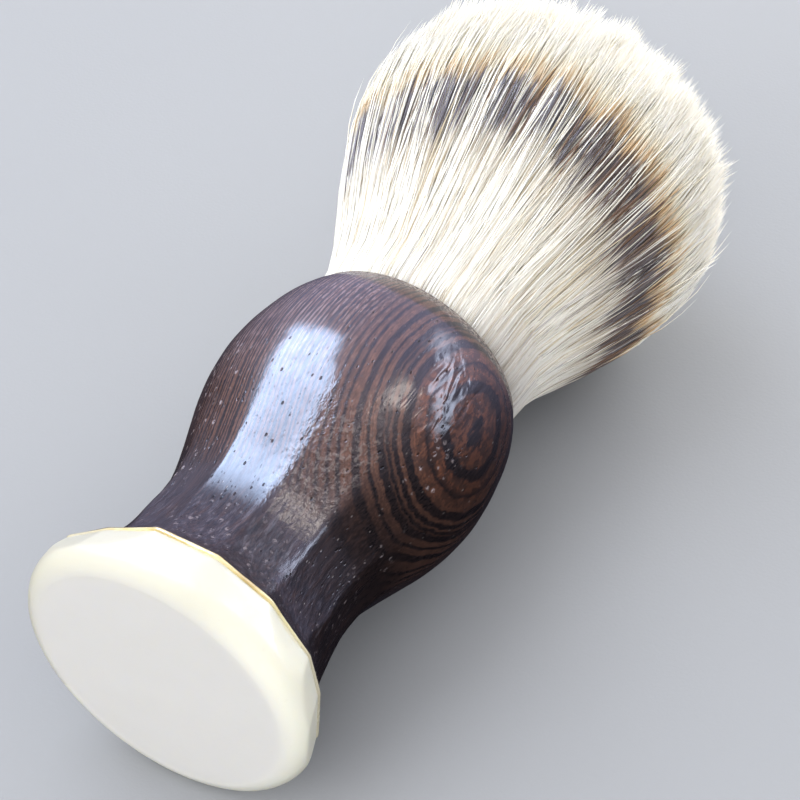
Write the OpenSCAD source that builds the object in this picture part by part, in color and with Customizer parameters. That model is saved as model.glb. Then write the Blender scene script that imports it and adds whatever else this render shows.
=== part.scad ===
// Shaving brush: turned and hand-faceted wenge handle on a faux-ivory foot,
// with a glued-in badger hair knot. Millimetres. +Z runs up the brush axis;
// the origin is the centre of the foot's flat underside.

/* [Foot disc] */
// thickness of the resin foot
foot_h = 6.0; // [5:0.1:7]
// radius of the foot where it is widest
foot_r = 17.0; // [16.4:0.1:17.6]
// rounding between the underside and the side
foot_round = 2.6; // [1.5:0.1:3]
// corner radius of the faceted upper edge
foot_top_r = 16.25; // [16:0.05:16.5]
// lean of the flats on the foot's side, in degrees
foot_lean = 19.5; // [17:0.5:22]
// thickness of the amber glue line under the wood
glue_h = 0.2; // [0.1:0.05:0.4]

/* [Handle] */
// height of the socket rim above the table
rim_z = 50.2; // [48:0.2:52]
// number of carved flats around the neck
flats = 12; // [10:1:12]
// radius of the neck at its waist
waist_r = 12.3; // [12:0.1:13]
// height of the waist
waist_z = 17.0; // [16:0.2:18]
// depth of the carved flats at the waist
flat_cut = 0.45; // [0.2:0.05:0.6]
// radius of the sanding drum that carved the flats and the flare
drum_r = 17.0; // [16.8:0.1:18]
// radius of the bulb where it is widest
bulb_r = 16.75; // [16.4:0.05:17]
// height where the bulb is widest
bulb_z = 38.3; // [37.5:0.1:39]
// radius of the bulb's outline arc
bulb_arc = 25; // [24.5:0.1:26]
// rounding on the outside of the socket rim
rim_round = 0.7; // [0.4:0.1:0.8]

/* [Knot socket] */
// diameter of the knot at its plug
knot_d = 25; // [24:0.5:25]
// radial gap between plug and socket wall
socket_gap = 0.1; // [0.05:0.05:0.2]
// depth of the socket
socket_depth = 13; // [11:0.5:15]
// thickness of the epoxy bed on the socket floor
bed_h = 0.8; // [0.4:0.1:1.2]
// height of the hard plug that bonds the hair roots
plug_h = 8; // [6:0.5:8.5]

/* [Hair] */
// free height of the hair above the rim
loft = 53.3; // [50:0.1:55]
// radius of the hair just above the rim
root_r = 13.0; // [12.9:0.05:13.2]
// radius of the hair bundle where it is widest
belly_r = 22.6; // [21.5:0.1:23.5]
// height of the widest part above the rim
belly_up = 33.8; // [32:0.2:35]
// outline arc of the hair below the widest part
flare_arc = 36; // [35:0.5:37]
// outline arc of the hair just above the widest part
shoulder_arc = 17.5; // [17:0.1:18]

/* [Binding and dowel] */
// thickness of the binding cord
cord_d = 0.7; // [0.5:0.05:0.8]
// number of cord turns round the hair roots
cord_turns = 3; // [2:1:3]
// diameter of the dowel that locates the foot
dowel_d = 6; // [5:0.5:7]
// length of the dowel
dowel_l = 11; // [9:0.5:12]

/* [Hidden] */
$fn = 96;

wood_z = foot_h + glue_h;
flat_in = waist_r - flat_cut;                    // waist radius across the flats
socket_r = knot_d / 2 + socket_gap;
socket_z = rim_z - socket_depth;
plug_z = socket_z + bed_h;
hair_z = plug_z + plug_h;
bound_r = knot_d / 2 - 0.1 - cord_d - 0.1;       // hair radius under the binding

// neck arc that meets the bulb arc smoothly
bulb_cx = bulb_r - bulb_arc;
up = bulb_z - waist_z;
neck_arc = (pow(waist_r - bulb_cx, 2) + up * up - bulb_arc * bulb_arc)
           / (2 * (bulb_arc - (waist_r - bulb_cx)));
neck_cx = waist_r + neck_arc;
meet_d = bulb_arc / (bulb_arc + neck_arc);
meet_r = bulb_cx + (neck_cx - bulb_cx) * meet_d;
meet_z = bulb_z - up * meet_d;
flare_r = waist_r + drum_r - sqrt(drum_r * drum_r - pow(waist_z - wood_z, 2));

// hair outline: root cylinder, concave flare, belly, shoulder and crown arcs
root_z = rim_z + 2.8;
belly_z = rim_z + belly_up;
tip_z = rim_z + loft;
flare_cx = belly_r - flare_arc;
drop = belly_z - root_z;
root_arc = (pow(root_r - flare_cx, 2) + drop * drop - flare_arc * flare_arc)
           / (2 * (flare_arc - (root_r - flare_cx)));
root_cx = root_r + root_arc;
hair_t = flare_arc / (flare_arc + root_arc);
hair_mr = flare_cx + (root_cx - flare_cx) * hair_t;
hair_mz = belly_z - drop * hair_t;
sh_cx = belly_r - shoulder_arc;
dome_h = tip_z - belly_z;
crown_arc = (sh_cx * sh_cx + dome_h * dome_h - shoulder_arc * shoulder_arc)
            / (2 * (dome_h - shoulder_arc));
crown_cz = tip_z - crown_arc;
crown_k = crown_arc / (crown_arc - shoulder_arc);
crown_mr = sh_cx * crown_k;
crown_mz = crown_cz + (belly_z - crown_cz) * crown_k;

function arc(cx, cz, r, a0, a1, n) =
    [for (i = [0:n]) let (a = a0 + (a1 - a0) * i / n) [cx + r * cos(a), cz + r * sin(a)]];

// outline of the turned blank before the flats are carved
module blank_2d() {
    intersection() {
        translate([bulb_cx, bulb_z]) circle(r = bulb_arc, $fn = 160);
        translate([0, meet_z]) square([bulb_r + 1, rim_z - meet_z]);
    }
    difference() {
        translate([0, waist_z]) square([meet_r, meet_z - waist_z]);
        translate([neck_cx, waist_z]) circle(r = neck_arc, $fn = 160);
    }
    difference() {
        translate([0, wood_z]) square([flare_r, waist_z - wood_z]);
        translate([waist_r + drum_r, waist_z]) circle(r = drum_r, $fn = 160);
    }
}

module blank() {
    difference() {
        rotate_extrude() blank_2d();
        // soft outer edge of the socket rim
        translate([0, 0, rim_z - rim_round]) difference() {
            cylinder(h = rim_round + 1, r = bulb_r + 2);
            translate([0, 0, -1]) cylinder(h = 1 + rim_round, r1 = rim_out + 1, r2 = rim_out - rim_round * 0.55);
        }
    }
}
rim_out = bulb_cx + sqrt(bulb_arc * bulb_arc - pow(rim_z - rim_round - bulb_z, 2));

// each flat is one pass of a sanding drum held across the neck
module flat_cuts() {
    for (i = [0:flats - 1])
        rotate([0, 0, 360 / flats * i])
            translate([flat_in + drum_r, 0, waist_z]) rotate([90, 0, 0])
                cylinder(h = 2 * foot_r, r = drum_r, center = true);
}

module handle() {
    color([0.16, 0.09, 0.06]) difference() {
        blank();
        intersection() {
            flat_cuts();
            translate([0, 0, wood_z - 1]) cylinder(h = waist_z - wood_z + 12, r = foot_r + 4);
        }
        // knot socket with an eased mouth
        translate([0, 0, socket_z]) cylinder(h = socket_depth + 1, r = socket_r);
        translate([0, 0, rim_z - 0.8]) cylinder(h = 1.6, r1 = socket_r, r2 = socket_r + 1.2);
        // blind hole for the foot's dowel
        translate([0, 0, wood_z - 1]) cylinder(h = dowel_l - 3 + 1 + 0.3, r = dowel_d / 2 + 0.05);
    }
}

module foot_disc() {
    color([0.93, 0.90, 0.80]) difference() {
        rotate_extrude() {
            square([foot_r - foot_round, foot_h]);
            translate([0, foot_round]) square([foot_r, foot_h - foot_round]);
            translate([foot_r - foot_round, foot_round]) circle(r = foot_round);
        }
        // leaning flats that run up into the faceted upper edge
        for (i = [0:flats - 1])
            rotate([0, 0, 360 / flats * i])
                translate([foot_top_r * cos(180 / flats), 0, foot_h]) rotate([0, -foot_lean, 0])
                    translate([0, -foot_r, -2 * foot_h]) cube([foot_r, 2 * foot_r, 4 * foot_h]);
        translate([0, 0, foot_h - 3.0]) cylinder(h = 4, r = dowel_d / 2 + 0.05);
    }
}

module foot_glue_line() {
    color([0.80, 0.62, 0.20]) translate([0, 0, foot_h]) difference() {
        rotate([0, 0, 180 / flats]) cylinder(h = glue_h, r = foot_top_r - 0.15, $fn = flats);
        translate([0, 0, -1]) cylinder(h = 2 + glue_h, r = dowel_d / 2 + 0.05);
    }
}

module locating_dowel() {
    color([0.78, 0.62, 0.42]) translate([0, 0, foot_h - 3.0]) {
        translate([0, 0, 0]) cylinder(h = dowel_l - 0.5, r = dowel_d / 2);
        translate([0, 0, dowel_l - 0.5]) cylinder(h = 0.5, r1 = dowel_d / 2, r2 = dowel_d / 2 - 0.5);
    }
}

module socket_epoxy() {
    color([0.72, 0.66, 0.48]) translate([0, 0, socket_z]) cylinder(h = bed_h, r = knot_d / 2);
}

module knot_plug() {
    color([0.55, 0.45, 0.28]) translate([0, 0, plug_z]) {
        cylinder(h = 0.6, r1 = knot_d / 2 - 0.6, r2 = knot_d / 2);
        translate([0, 0, 0.6]) cylinder(h = plug_h - 0.6, r = knot_d / 2);
    }
}

module knot_binding() {
    color([0.85, 0.82, 0.74]) translate([0, 0, hair_z]) rotate_extrude() {
        translate([bound_r, 0]) square([cord_d / 2, cord_turns * cord_d * 0.9]);
        for (i = [0:cord_turns - 1])
            translate([bound_r + cord_d / 2, cord_d * (0.5 + 0.88 * i)]) circle(d = cord_d);
    }
}

module hair_knot() {
    tie_h = cord_turns * cord_d * 0.9 + 0.1;
    side = concat(
        [[0, hair_z], [bound_r, hair_z], [bound_r, hair_z + tie_h],
         [knot_d / 2 - 0.1, hair_z + tie_h + 0.4], [knot_d / 2 - 0.1, rim_z - 1.0], [root_r, rim_z + 0.4]],
        arc(root_cx, root_z, root_arc, 180, 180 - asin((hair_mz - root_z) / root_arc), 6),
        [for (p = arc(flare_cx, belly_z, flare_arc, -acos((hair_mr - flare_cx) / flare_arc), 0, 8)) if (p[1] > hair_mz + 0.01) p],
        [for (p = arc(sh_cx, belly_z, shoulder_arc, 0, asin((crown_mz - belly_z) / shoulder_arc), 7)) if (p[1] > belly_z + 0.01) p],
        [for (p = arc(0, crown_cz, crown_arc, acos(crown_mr / crown_arc), 90, 7)) if (p[1] > crown_mz + 0.01 && p[0] > 0.01) p],
        [[0, tip_z]]);
    color([0.90, 0.87, 0.78]) rotate_extrude() polygon(side);
}

handle();
foot_disc();
foot_glue_line();
locating_dowel();
socket_epoxy();
knot_plug();
knot_binding();
hair_knot();
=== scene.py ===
import math

import bpy
import numpy as np
from mathutils import Matrix, Vector


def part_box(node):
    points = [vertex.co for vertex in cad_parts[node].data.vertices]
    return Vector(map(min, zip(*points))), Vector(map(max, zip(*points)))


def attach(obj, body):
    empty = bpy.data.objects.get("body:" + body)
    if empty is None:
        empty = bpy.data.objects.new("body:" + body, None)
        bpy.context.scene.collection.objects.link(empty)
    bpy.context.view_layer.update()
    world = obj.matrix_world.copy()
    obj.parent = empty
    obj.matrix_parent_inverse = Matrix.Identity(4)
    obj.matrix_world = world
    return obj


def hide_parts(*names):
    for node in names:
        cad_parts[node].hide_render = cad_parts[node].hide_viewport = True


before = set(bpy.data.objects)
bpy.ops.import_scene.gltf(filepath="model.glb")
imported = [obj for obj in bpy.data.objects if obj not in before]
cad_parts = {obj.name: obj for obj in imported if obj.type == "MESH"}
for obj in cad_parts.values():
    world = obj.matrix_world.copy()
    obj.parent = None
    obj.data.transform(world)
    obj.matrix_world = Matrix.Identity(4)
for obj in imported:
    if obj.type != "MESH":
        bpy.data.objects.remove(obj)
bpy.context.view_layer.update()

MM = 0.001
TAU = 2 * math.pi
UV = "OFBake"
scene = bpy.context.scene
scene.view_settings.view_transform = "Standard"


# ----------------------------------------------------------------- camera
RIGHT = Vector((0.71103, 0.49811, 0.49631))
UP = Vector((0.08909, -0.76395, 0.63909))
FORWARD = Vector((-0.69749, 0.41020, 0.58757))
cam_data = bpy.data.cameras.new("camera")
cam_data.lens = 110.30
cam_data.sensor_width = 36.0
cam_data.clip_start = 0.01
cam_data.clip_end = 20.0
cam = bpy.data.objects.new("camera", cam_data)
scene.collection.objects.link(cam)
cam.matrix_world = Matrix((
    (RIGHT.x, UP.x, -FORWARD.x, 0.19153),
    (RIGHT.y, UP.y, -FORWARD.y, -0.11058),
    (RIGHT.z, UP.z, -FORWARD.z, -0.11429),
    (0, 0, 0, 1),
))
scene.camera = cam


# ----------------------------------------------------------------- node helper
class Nodes:
    """Short calls for building a node tree."""

    def __init__(self, tree):
        self.t = tree

    def add(self, kind, ins=None, **props):
        n = self.t.nodes.new(kind)
        for k, v in props.items():
            setattr(n, k, v)
        for k, v in (ins or {}).items():
            self.put(n.inputs[k], v)
        return n

    def put(self, socket, v):
        if isinstance(v, bpy.types.NodeSocket):
            self.t.links.new(v, socket)
        else:
            socket.default_value = v

    def math(self, op, a, b=0.0, c=0.0, clamp=False):
        n = self.add("ShaderNodeMath", operation=op, use_clamp=clamp)
        self.put(n.inputs[0], a)
        self.put(n.inputs[1], b)
        self.put(n.inputs[2], c)
        return n.outputs[0]

    def add_(self, a, b):
        return self.math("ADD", a, b)

    def sub(self, a, b):
        return self.math("SUBTRACT", a, b)

    def mul(self, a, b, clamp=False):
        return self.math("MULTIPLY", a, b, clamp=clamp)

    def step(self, x, a, b, lo=0.0, hi=1.0):
        """Smooth step from lo at x=a to hi at x=b."""
        n = self.add("ShaderNodeMapRange", interpolation_type="SMOOTHSTEP")
        self.put(n.inputs[0], x)
        self.put(n.inputs[1], a)
        self.put(n.inputs[2], b)
        self.put(n.inputs[3], lo)
        self.put(n.inputs[4], hi)
        return n.outputs[0]

    def mix(self, f, a, b, blend="MIX"):
        n = self.add("ShaderNodeMix", data_type="RGBA", blend_type=blend)
        self.put(n.inputs[0], f)
        self.put(n.inputs[6], a)
        self.put(n.inputs[7], b)
        return n.outputs[2]

    def ramp(self, f, stops, interp="LINEAR"):
        n = self.add("ShaderNodeValToRGB")
        n.color_ramp.interpolation = interp
        e = n.color_ramp.elements
        while len(e) < len(stops):
            e.new(0.5)
        for el, (p, c) in zip(e, stops):
            el.position = p
            el.color = c if hasattr(c, "__len__") else (c, c, c, 1)
        self.put(n.inputs[0], f)
        return n.outputs[0]

    def vec(self, x, y, z):
        n = self.add("ShaderNodeCombineXYZ")
        self.put(n.inputs[0], x)
        self.put(n.inputs[1], y)
        self.put(n.inputs[2], z)
        return n.outputs[0]

    def split(self, v):
        n = self.add("ShaderNodeSeparateXYZ")
        self.put(n.inputs[0], v)
        return n.outputs[0], n.outputs[1], n.outputs[2]

    def vmul(self, v, s):
        n = self.add("ShaderNodeVectorMath", operation="MULTIPLY")
        self.put(n.inputs[0], v)
        self.put(n.inputs[1], s)
        return n.outputs[0]

    def vadd(self, v, s):
        n = self.add("ShaderNodeVectorMath", operation="ADD")
        self.put(n.inputs[0], v)
        self.put(n.inputs[1], s)
        return n.outputs[0]

    def dot(self, v, s):
        n = self.add("ShaderNodeVectorMath", operation="DOT_PRODUCT")
        self.put(n.inputs[0], v)
        self.put(n.inputs[1], s)
        return n.outputs["Value"]

    def noise(self, v, scale, detail=2.0, rough=0.5, dist=0.0):
        n = self.add("ShaderNodeTexNoise", noise_dimensions="3D")
        self.put(n.inputs["Vector"], v)
        self.put(n.inputs["Scale"], scale)
        self.put(n.inputs["Detail"], detail)
        self.put(n.inputs["Roughness"], rough)
        self.put(n.inputs["Distortion"], dist)
        return n.outputs[0]

    def noise1(self, w, scale, detail=0.0, rough=0.5):
        n = self.add("ShaderNodeTexNoise", noise_dimensions="1D")
        self.put(n.inputs["W"], w)
        self.put(n.inputs["Scale"], scale)
        self.put(n.inputs["Detail"], detail)
        self.put(n.inputs["Roughness"], rough)
        return n.outputs[0]

    def white(self, w):
        n = self.add("ShaderNodeTexWhiteNoise", noise_dimensions="1D")
        self.put(n.inputs["W"], w)
        return n.outputs["Value"]

    def mm(self):
        """The point in the row frame, in millimetres."""
        tc = self.add("ShaderNodeTexCoord")
        return self.vmul(tc.outputs["Object"], (1000.0, 1000.0, 1000.0))

    def bump(self, height, distance, strength=1.0, normal=None):
        n = self.add("ShaderNodeBump")
        self.put(n.inputs["Strength"], strength)
        self.put(n.inputs["Distance"], distance)
        self.put(n.inputs["Height"], height)
        if normal is not None:
            self.put(n.inputs["Normal"], normal)
        return n.outputs[0]


def rgb(r, g, b):
    return (r, g, b, 1.0)


def material(name):
    m = bpy.data.materials.new(name)
    m.use_nodes = True
    t = m.node_tree
    t.nodes.clear()
    g = Nodes(t)
    out = g.add("ShaderNodeOutputMaterial")
    b = g.add("ShaderNodeBsdfPrincipled")
    t.links.new(b.outputs[0], out.inputs[0])
    return m, g, b, out


# ----------------------------------------------------------------- wenge wood
# Growth layers met going in from the surface at azimuth 7: depth in mm, and 0 for dark to 1 for brown.
LAYERS_NEAR = [(0.0, 0.10), (0.03, 0.15), (0.07, 0.85), (0.20, 1.0), (0.30, 0.90), (0.39, 0.15), (0.50, 0.0), (0.58, 0.15), (0.66, 0.75),
               (0.80, 0.90), (0.95, 0.60), (1.10, 0.25), (1.22, 0.80), (1.45, 1.0), (1.65, 0.85), (1.78, 0.15), (1.98, 0.0), (2.10, 0.25),
               (2.24, 0.95), (2.34, 0.50), (2.44, 0.0), (2.56, 0.20), (2.66, 0.75), (2.76, 0.30), (2.86, 0.15), (2.96, 0.50), (3.06, 0.20), (3.20, 0.0)]
LAYERS_FAR = [(3.20, 0.0), (3.34, 0.05), (3.44, 0.6), (3.60, 1.0), (3.74, 0.7), (3.88, 0.0), (4.04, 0.7), (4.19, 1.0), (4.34, 0.7), (4.48, 0.08),
              (4.78, 0.05), (4.93, 0.7), (5.08, 1.0), (5.42, 0.95), (5.58, 0.5), (5.72, 0.0), (5.90, 0.6), (6.04, 0.85), (6.20, 0.5), (6.37, 0.1),
              (6.56, 0.6), (6.74, 0.9), (6.90, 0.5), (7.05, 0.1), (7.28, 0.9), (7.62, 0.35), (7.84, 0.7), (8.06, 0.05), (8.28, 0.75), (8.50, 0.05)]


def wood_material():
    m, g, b, _ = material("wenge_wood")
    p = g.mm()
    x, y, z = g.split(p)
    ang = g.math("MULTIPLY", g.math("ARCTAN2", y, x), 180 / math.pi)

    def within(v, a0, a1, b0, b1):
        """1 between a1 and b0, falling to 0 at a0 and b1."""
        return g.mul(g.step(v, a0, a1), g.step(v, b1, b0))
    # Growth layers: nearly flat sheets whose normal points 7 degrees from +X.
    warp = g.sub(g.noise(g.vmul(p, (0.085, 0.085, 0.05)), 1.0, 2.0), 0.5)
    fine = g.sub(g.noise(g.vmul(p, (0.8, 0.8, 0.20)), 1.0, 2.0), 0.5)
    fray = g.sub(g.noise(g.vmul(p, (3.2, 3.2, 0.75)), 1.0, 3.0, 0.6), 0.5)
    drop = g.sub(18.655, g.dot(p, (0.9924, 0.1219, 0.05)))
    far = g.step(drop, 0.3, 4.0)
    q = g.dot(p, (-0.1219, 0.9924, 0.0))
    drop = g.sub(drop, g.mul(g.math("MINIMUM", g.mul(q, q), 90.0), 0.006))
    t = g.add_(drop, g.mul(warp, g.add_(0.06, g.mul(far, 0.75))))
    t = g.add_(t, g.mul(fine, g.add_(0.26, g.mul(far, 0.04))))
    t = g.add_(t, g.mul(fray, g.add_(0.20, g.mul(far, 0.04))))
    t = g.math("MAXIMUM", t, 0.0)
    near_b = g.ramp(g.math("DIVIDE", t, 3.2), [(d / 3.2, v) for d, v in LAYERS_NEAR])
    far_b = g.ramp(g.math("DIVIDE", g.sub(t, 3.2), 5.3), [((d - 3.2) / 5.3, v) for d, v in LAYERS_FAR])
    wob = g.sub(g.noise1(t, 0.75, 2.0), 0.5)
    wave = g.math("COSINE", g.mul(g.add_(g.math("DIVIDE", g.sub(t, 8.5), 0.53), g.mul(wob, 1.3)), TAU))
    rest_b = g.step(g.add_(wave, g.mul(g.sub(g.noise1(g.add_(t, 31.7), 1.1, 0.0), 0.5), 1.6)), 0.75, -0.65)
    band = g.mix(g.step(t, 3.19, 3.21), near_b, far_b)
    band = g.split(g.mix(g.step(t, 8.48, 8.52), band, g.vec(rest_b, rest_b, rest_b)))[0]
    band = g.step(band, 0.14, 0.80)
    fib = g.noise(g.vmul(p, (5.2, 5.2, 0.34)), 1.0, 3.0, 0.62)
    vein = g.noise1(g.add_(t, 7.3), 9.0, 2.0, 0.65)
    # Below the bulb the figure sinks into dark heartwood with fibre streaks only.
    fall = g.add_(z, g.add_(g.mul(warp, 9.0), g.mul(fine, 3.5)))
    fall = g.sub(fall, g.step(ang, -24.0, -6.0, 0.0, 3.4))
    low_wood = g.step(fall, 25.5, 18.5)
    streaks = g.noise(g.vmul(p, (1.5, 1.5, 0.10)), 1.0, 3.0, 0.6)
    band = g.mul(band, g.sub(1.0, g.mul(low_wood, 0.92)))
    band = g.add_(band, g.mul(low_wood, g.mul(g.step(streaks, 0.48, 0.78), 0.30)))
    blotch = g.noise(g.vmul(p, (0.16, 0.16, 0.07)), 1.0, 2.0)
    front = g.step(drop, 2.6, 0.6)
    brown = g.mix(blotch, rgb(0.165, 0.077, 0.050), rgb(0.104, 0.048, 0.032))
    brown = g.mix(g.mul(front, 0.75), brown, g.mix(blotch, rgb(0.235, 0.074, 0.032), rgb(0.125, 0.040, 0.019)))
    # Painted shade: darker towards the side at azimuth 25, away from the light. More mottled there too, which is the
    # wood's own.
    mottle = g.noise(g.vmul(p, (1.15, 1.15, 0.80)), 1.0, 4.0, 0.66)
    right = g.step(ang, -18.0, 26.0)
    painted_shade_and_mottle = g.mul(g.sub(1.0, g.mul(right, 0.62)), g.sub(1.0, g.mul(g.step(mottle, 0.57, 0.44), g.add_(0.30, g.mul(front, 0.55)))))
    # Also a little darker past azimuth -84.
    painted_shade_and_mottle = g.mul(painted_shade_and_mottle, g.sub(1.0, g.mul(g.step(ang, -84.0, -116.0), 0.24)))
    brown = g.mix(painted_shade_and_mottle, rgb(0.016, 0.009, 0.008), brown)
    brown = g.mix(g.mul(g.step(fib, 0.62, 0.36), 0.55), brown, rgb(0.040, 0.021, 0.016))
    brown = g.mix(g.mul(g.step(vein, 0.42, 0.66), 0.50), brown, rgb(0.045, 0.022, 0.016))
    dark = g.mix(g.step(fib, 0.40, 0.68), rgb(0.0055, 0.0040, 0.0050), rgb(0.020, 0.0125, 0.0125))
    col = g.mix(band, dark, brown)

    # Vessels: short slits along the grain. Fine ones everywhere, and open ones that the lacquer hasn't filled.
    def slits(scale, lo_d, hi_d, keep, shift):
        vor = g.add("ShaderNodeTexVoronoi", feature="F1")
        g.put(vor.inputs["Vector"], g.vadd(g.vmul(p, scale), (shift, 0.0, 0.0)))
        g.put(vor.inputs["Scale"], 1.0)
        pick = g.split(vor.outputs["Color"])
        return g.mul(g.step(vor.outputs["Distance"], hi_d, lo_d), g.step(pick[0], keep, keep + 0.06)), pick[1]
    fine_p, fine_pick = slits((2.9, 2.9, 1.0), 0.10, 0.26, 0.45, 0.0)
    open_p, open_pick = slits((1.25, 1.25, 0.62), 0.08, 0.19, 0.55, 9.1)
    col = g.mix(g.mul(g.math("MAXIMUM", fine_p, open_p), 0.70), col, rgb(0.006, 0.0045, 0.005))
    speck = g.mul(g.step(fine_pick, 0.80, 0.86), fine_p)
    more = g.math("MAXIMUM", g.mul(low_wood, 0.55), g.math("MAXIMUM", g.mul(front, 0.55), 0.30))
    col = g.mix(g.mul(speck, more), col, rgb(0.30, 0.26, 0.25))
    # Pale flecks in the open grain: painted glints on the far left and on the ridge near azimuth 20, and pale specks
    # below the eye and on the neck.
    fleck_p, fleck_pick = slits((1.30, 1.30, 1.05), 0.20, 0.42, 0.25, 4.4)
    glint_and_speck_zones = g.math("MAXIMUM", g.mul(within(ang, -122.0, -112.0, -96.0, -86.0), within(z, 15.0, 21.0, 33.0, 38.0)), g.mul(g.mul(within(ang, 12.0, 18.0, 28.0, 36.0), within(z, 6.0, 11.0, 23.0, 28.0)), 0.7))
    glint_and_speck_zones = g.math("MAXIMUM", glint_and_speck_zones, g.mul(g.mul(within(ang, -12.0, -3.0, 12.0, 20.0), within(z, 28.0, 30.0, 34.0, 36.0)), 0.9))
    glint_and_speck_zones = g.math("MAXIMUM", glint_and_speck_zones, g.mul(g.mul(within(ang, -82.0, -74.0, -22.0, -12.0), within(z, 7.0, 9.0, 14.0, 17.0)), 0.45))
    fleck = g.mul(g.mul(fleck_p, glint_and_speck_zones), g.step(fleck_pick, 0.35, 0.60))
    fleck = g.mul(fleck, g.step(g.noise(g.vmul(p, (3.5, 3.5, 2.6)), 1.0, 2.0), 0.42, 0.56))
    col = g.mix(g.mul(fleck, 0.85), col, rgb(0.38, 0.32, 0.33))
    # Pale lines in the brown layers high on the left, and a painted sheen: grey-beige mottling that stands in for the
    # glints of the wrinkled lacquer.
    high_left = g.mul(within(ang, -114.0, -100.0, -60.0, -44.0), within(z, 29.0, 37.0, 46.0, 50.0))
    col = g.mix(g.mul(g.mul(high_left, g.step(fib, 0.47, 0.60)), g.add_(0.05, g.mul(band, 0.33))), col, rgb(0.31, 0.235, 0.235))
    grit = g.noise(g.vmul(p, (1.9, 1.9, 1.25)), 1.0, 3.0, 0.6, 0.5)
    on_grit_and_sheen = g.mul(within(ang, -53.0, -45.0, -20.0, -11.0), within(z, 16.5, 20.0, 27.5, 33.5))
    col = g.mix(g.mul(g.mul(on_grit_and_sheen, g.step(grit, 0.50, 0.62)), 0.38), col, rgb(0.22, 0.190, 0.175))
    # Grey streaks along the neck.
    ribs = g.noise(g.vmul(p, (2.0, 2.0, 0.22)), 1.0, 3.0, 0.6)
    on_neck = g.step(g.add_(z, g.mul(warp, 4.0)), 19.5, 15.0)
    col = g.mix(g.mul(g.mul(g.step(ribs, 0.56, 0.74), on_neck), 0.45), col, rgb(0.115, 0.100, 0.112))
    # Grey-brown haze of glue and lint along the top rim.
    haze_n = g.noise(g.vmul(p, (0.9, 0.9, 0.9)), 1.0, 3.0, 0.6)
    haze = g.mul(g.step(g.add_(z, g.mul(haze_n, 2.2)), 49.3, 50.9), 0.80)
    crumb = g.noise(g.vmul(p, (3.6, 3.6, 3.0)), 1.0, 3.0, 0.65)
    col = g.mix(haze, col, g.mix(g.step(crumb, 0.42, 0.60), rgb(0.085, 0.070, 0.060), rgb(0.38, 0.33, 0.27)))
    g.put(b.inputs["Base Color"], col)
    rough = g.add_(g.add_(g.mul(fib, 0.16), 0.36), g.mul(haze, 0.3))
    g.put(b.inputs["Roughness"], rough)
    b.inputs["Specular IOR Level"].default_value = 0.10
    shine = g.noise(g.vmul(p, (2.4, 2.4, 0.42)), 1.0, 3.0, 0.6)
    coat = g.mul(g.step(shine, 0.25, 0.62, 0.76, 1.0), g.sub(1.0, g.mul(haze, 0.6)))
    coat = g.mul(coat, g.sub(1.0, g.mul(open_p, 0.88)))
    coat = g.mul(coat, g.sub(1.0, g.mul(fine_p, 0.18)))
    dull = g.mul(within(ang, -47.0, -43.0, -21.0, -17.0), within(z, 5.0, 7.5, 14.8, 17.0))
    coat = g.mul(coat, g.sub(1.0, g.mul(dull, 0.50)))
    coat = g.mul(coat, g.sub(1.0, g.mul(g.mul(on_neck, g.step(ribs, 0.60, 0.40)), 0.42)))
    # The lacquer thins out where the bulb runs into the neck.
    melt = g.mul(within(ang, -86.0, -80.0, -46.0, -40.0), g.step(z, 21.0, 16.0))
    coat = g.mul(coat, g.sub(1.0, g.mul(melt, 0.38)))
    g.put(b.inputs["Coat Weight"], coat)
    wrinkled = g.mul(within(ang, -48.0, -42.0, -17.0, -12.0), within(z, 14.5, 17.5, 23.0, 28.0))
    g.put(b.inputs["Coat Roughness"], g.add_(g.add_(g.add_(0.085, g.mul(shine, 0.12)), g.mul(dull, 0.22)), g.add_(g.mul(wrinkled, 0.07), g.mul(melt, 0.09))))
    b.inputs["Coat IOR"].default_value = 1.52
    # Lacquer surface: slow waves and a fine peel everywhere, and wrinkles over the open grain in a few patches.
    slow = g.noise(g.vmul(p, (0.40, 0.40, 0.16)), 1.0, 2.0)
    peel = g.noise(g.vmul(p, (1.5, 1.5, 0.8)), 1.0, 2.0)
    rip = g.noise(g.vmul(p, (1.7, 1.7, 0.85)), 1.0, 2.0, 0.5, 0.6)
    loops = g.noise(g.vmul(p, (1.05, 1.05, 0.80)), 1.0, 2.0, 0.5, 0.4)
    drops = g.noise(g.vmul(p, (0.62, 0.62, 0.25)), 1.0, 1.0, 0.5, 1.0)
    rock = g.noise(g.vmul(p, (2.4, 2.4, 1.3)), 1.0, 2.0)
    flake = g.noise(g.vmul(p, (1.2, 1.2, 0.9)), 1.0, 2.0)
    on_rip = g.mul(within(ang, -53.0, -46.0, -32.0, -22.0), within(z, 16.0, 24.0, 31.0, 36.0))
    on_wide = g.mul(within(ang, -50.0, -42.0, -18.0, -11.0), within(z, 14.5, 18.0, 25.0, 31.0))
    on_drops = g.mul(within(ang, -27.0, -19.0, -6.0, 3.0), within(z, 31.5, 35.0, 42.0, 46.0))
    on_rock = g.mul(within(ang, 15.0, 20.0, 27.0, 34.0), within(z, 7.0, 12.0, 22.0, 28.0))
    on_flake = g.mul(within(ang, -118.0, -110.0, -97.0, -90.0), within(z, 16.0, 21.0, 32.0, 38.0))
    h = g.add_(g.mul(slow, 0.055), g.mul(peel, 0.011))
    h = g.add_(h, g.mul(g.mul(rip, on_rip), 0.085))
    h = g.add_(h, g.mul(g.mul(loops, on_wide), 0.100))
    h = g.add_(h, g.mul(g.mul(drops, on_drops), 0.24))
    h = g.add_(h, g.mul(g.mul(grit, on_grit_and_sheen), 0.05))
    h = g.add_(h, g.mul(g.mul(rock, on_rock), 0.09))
    h = g.add_(h, g.mul(g.mul(flake, on_flake), 0.13))
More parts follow.
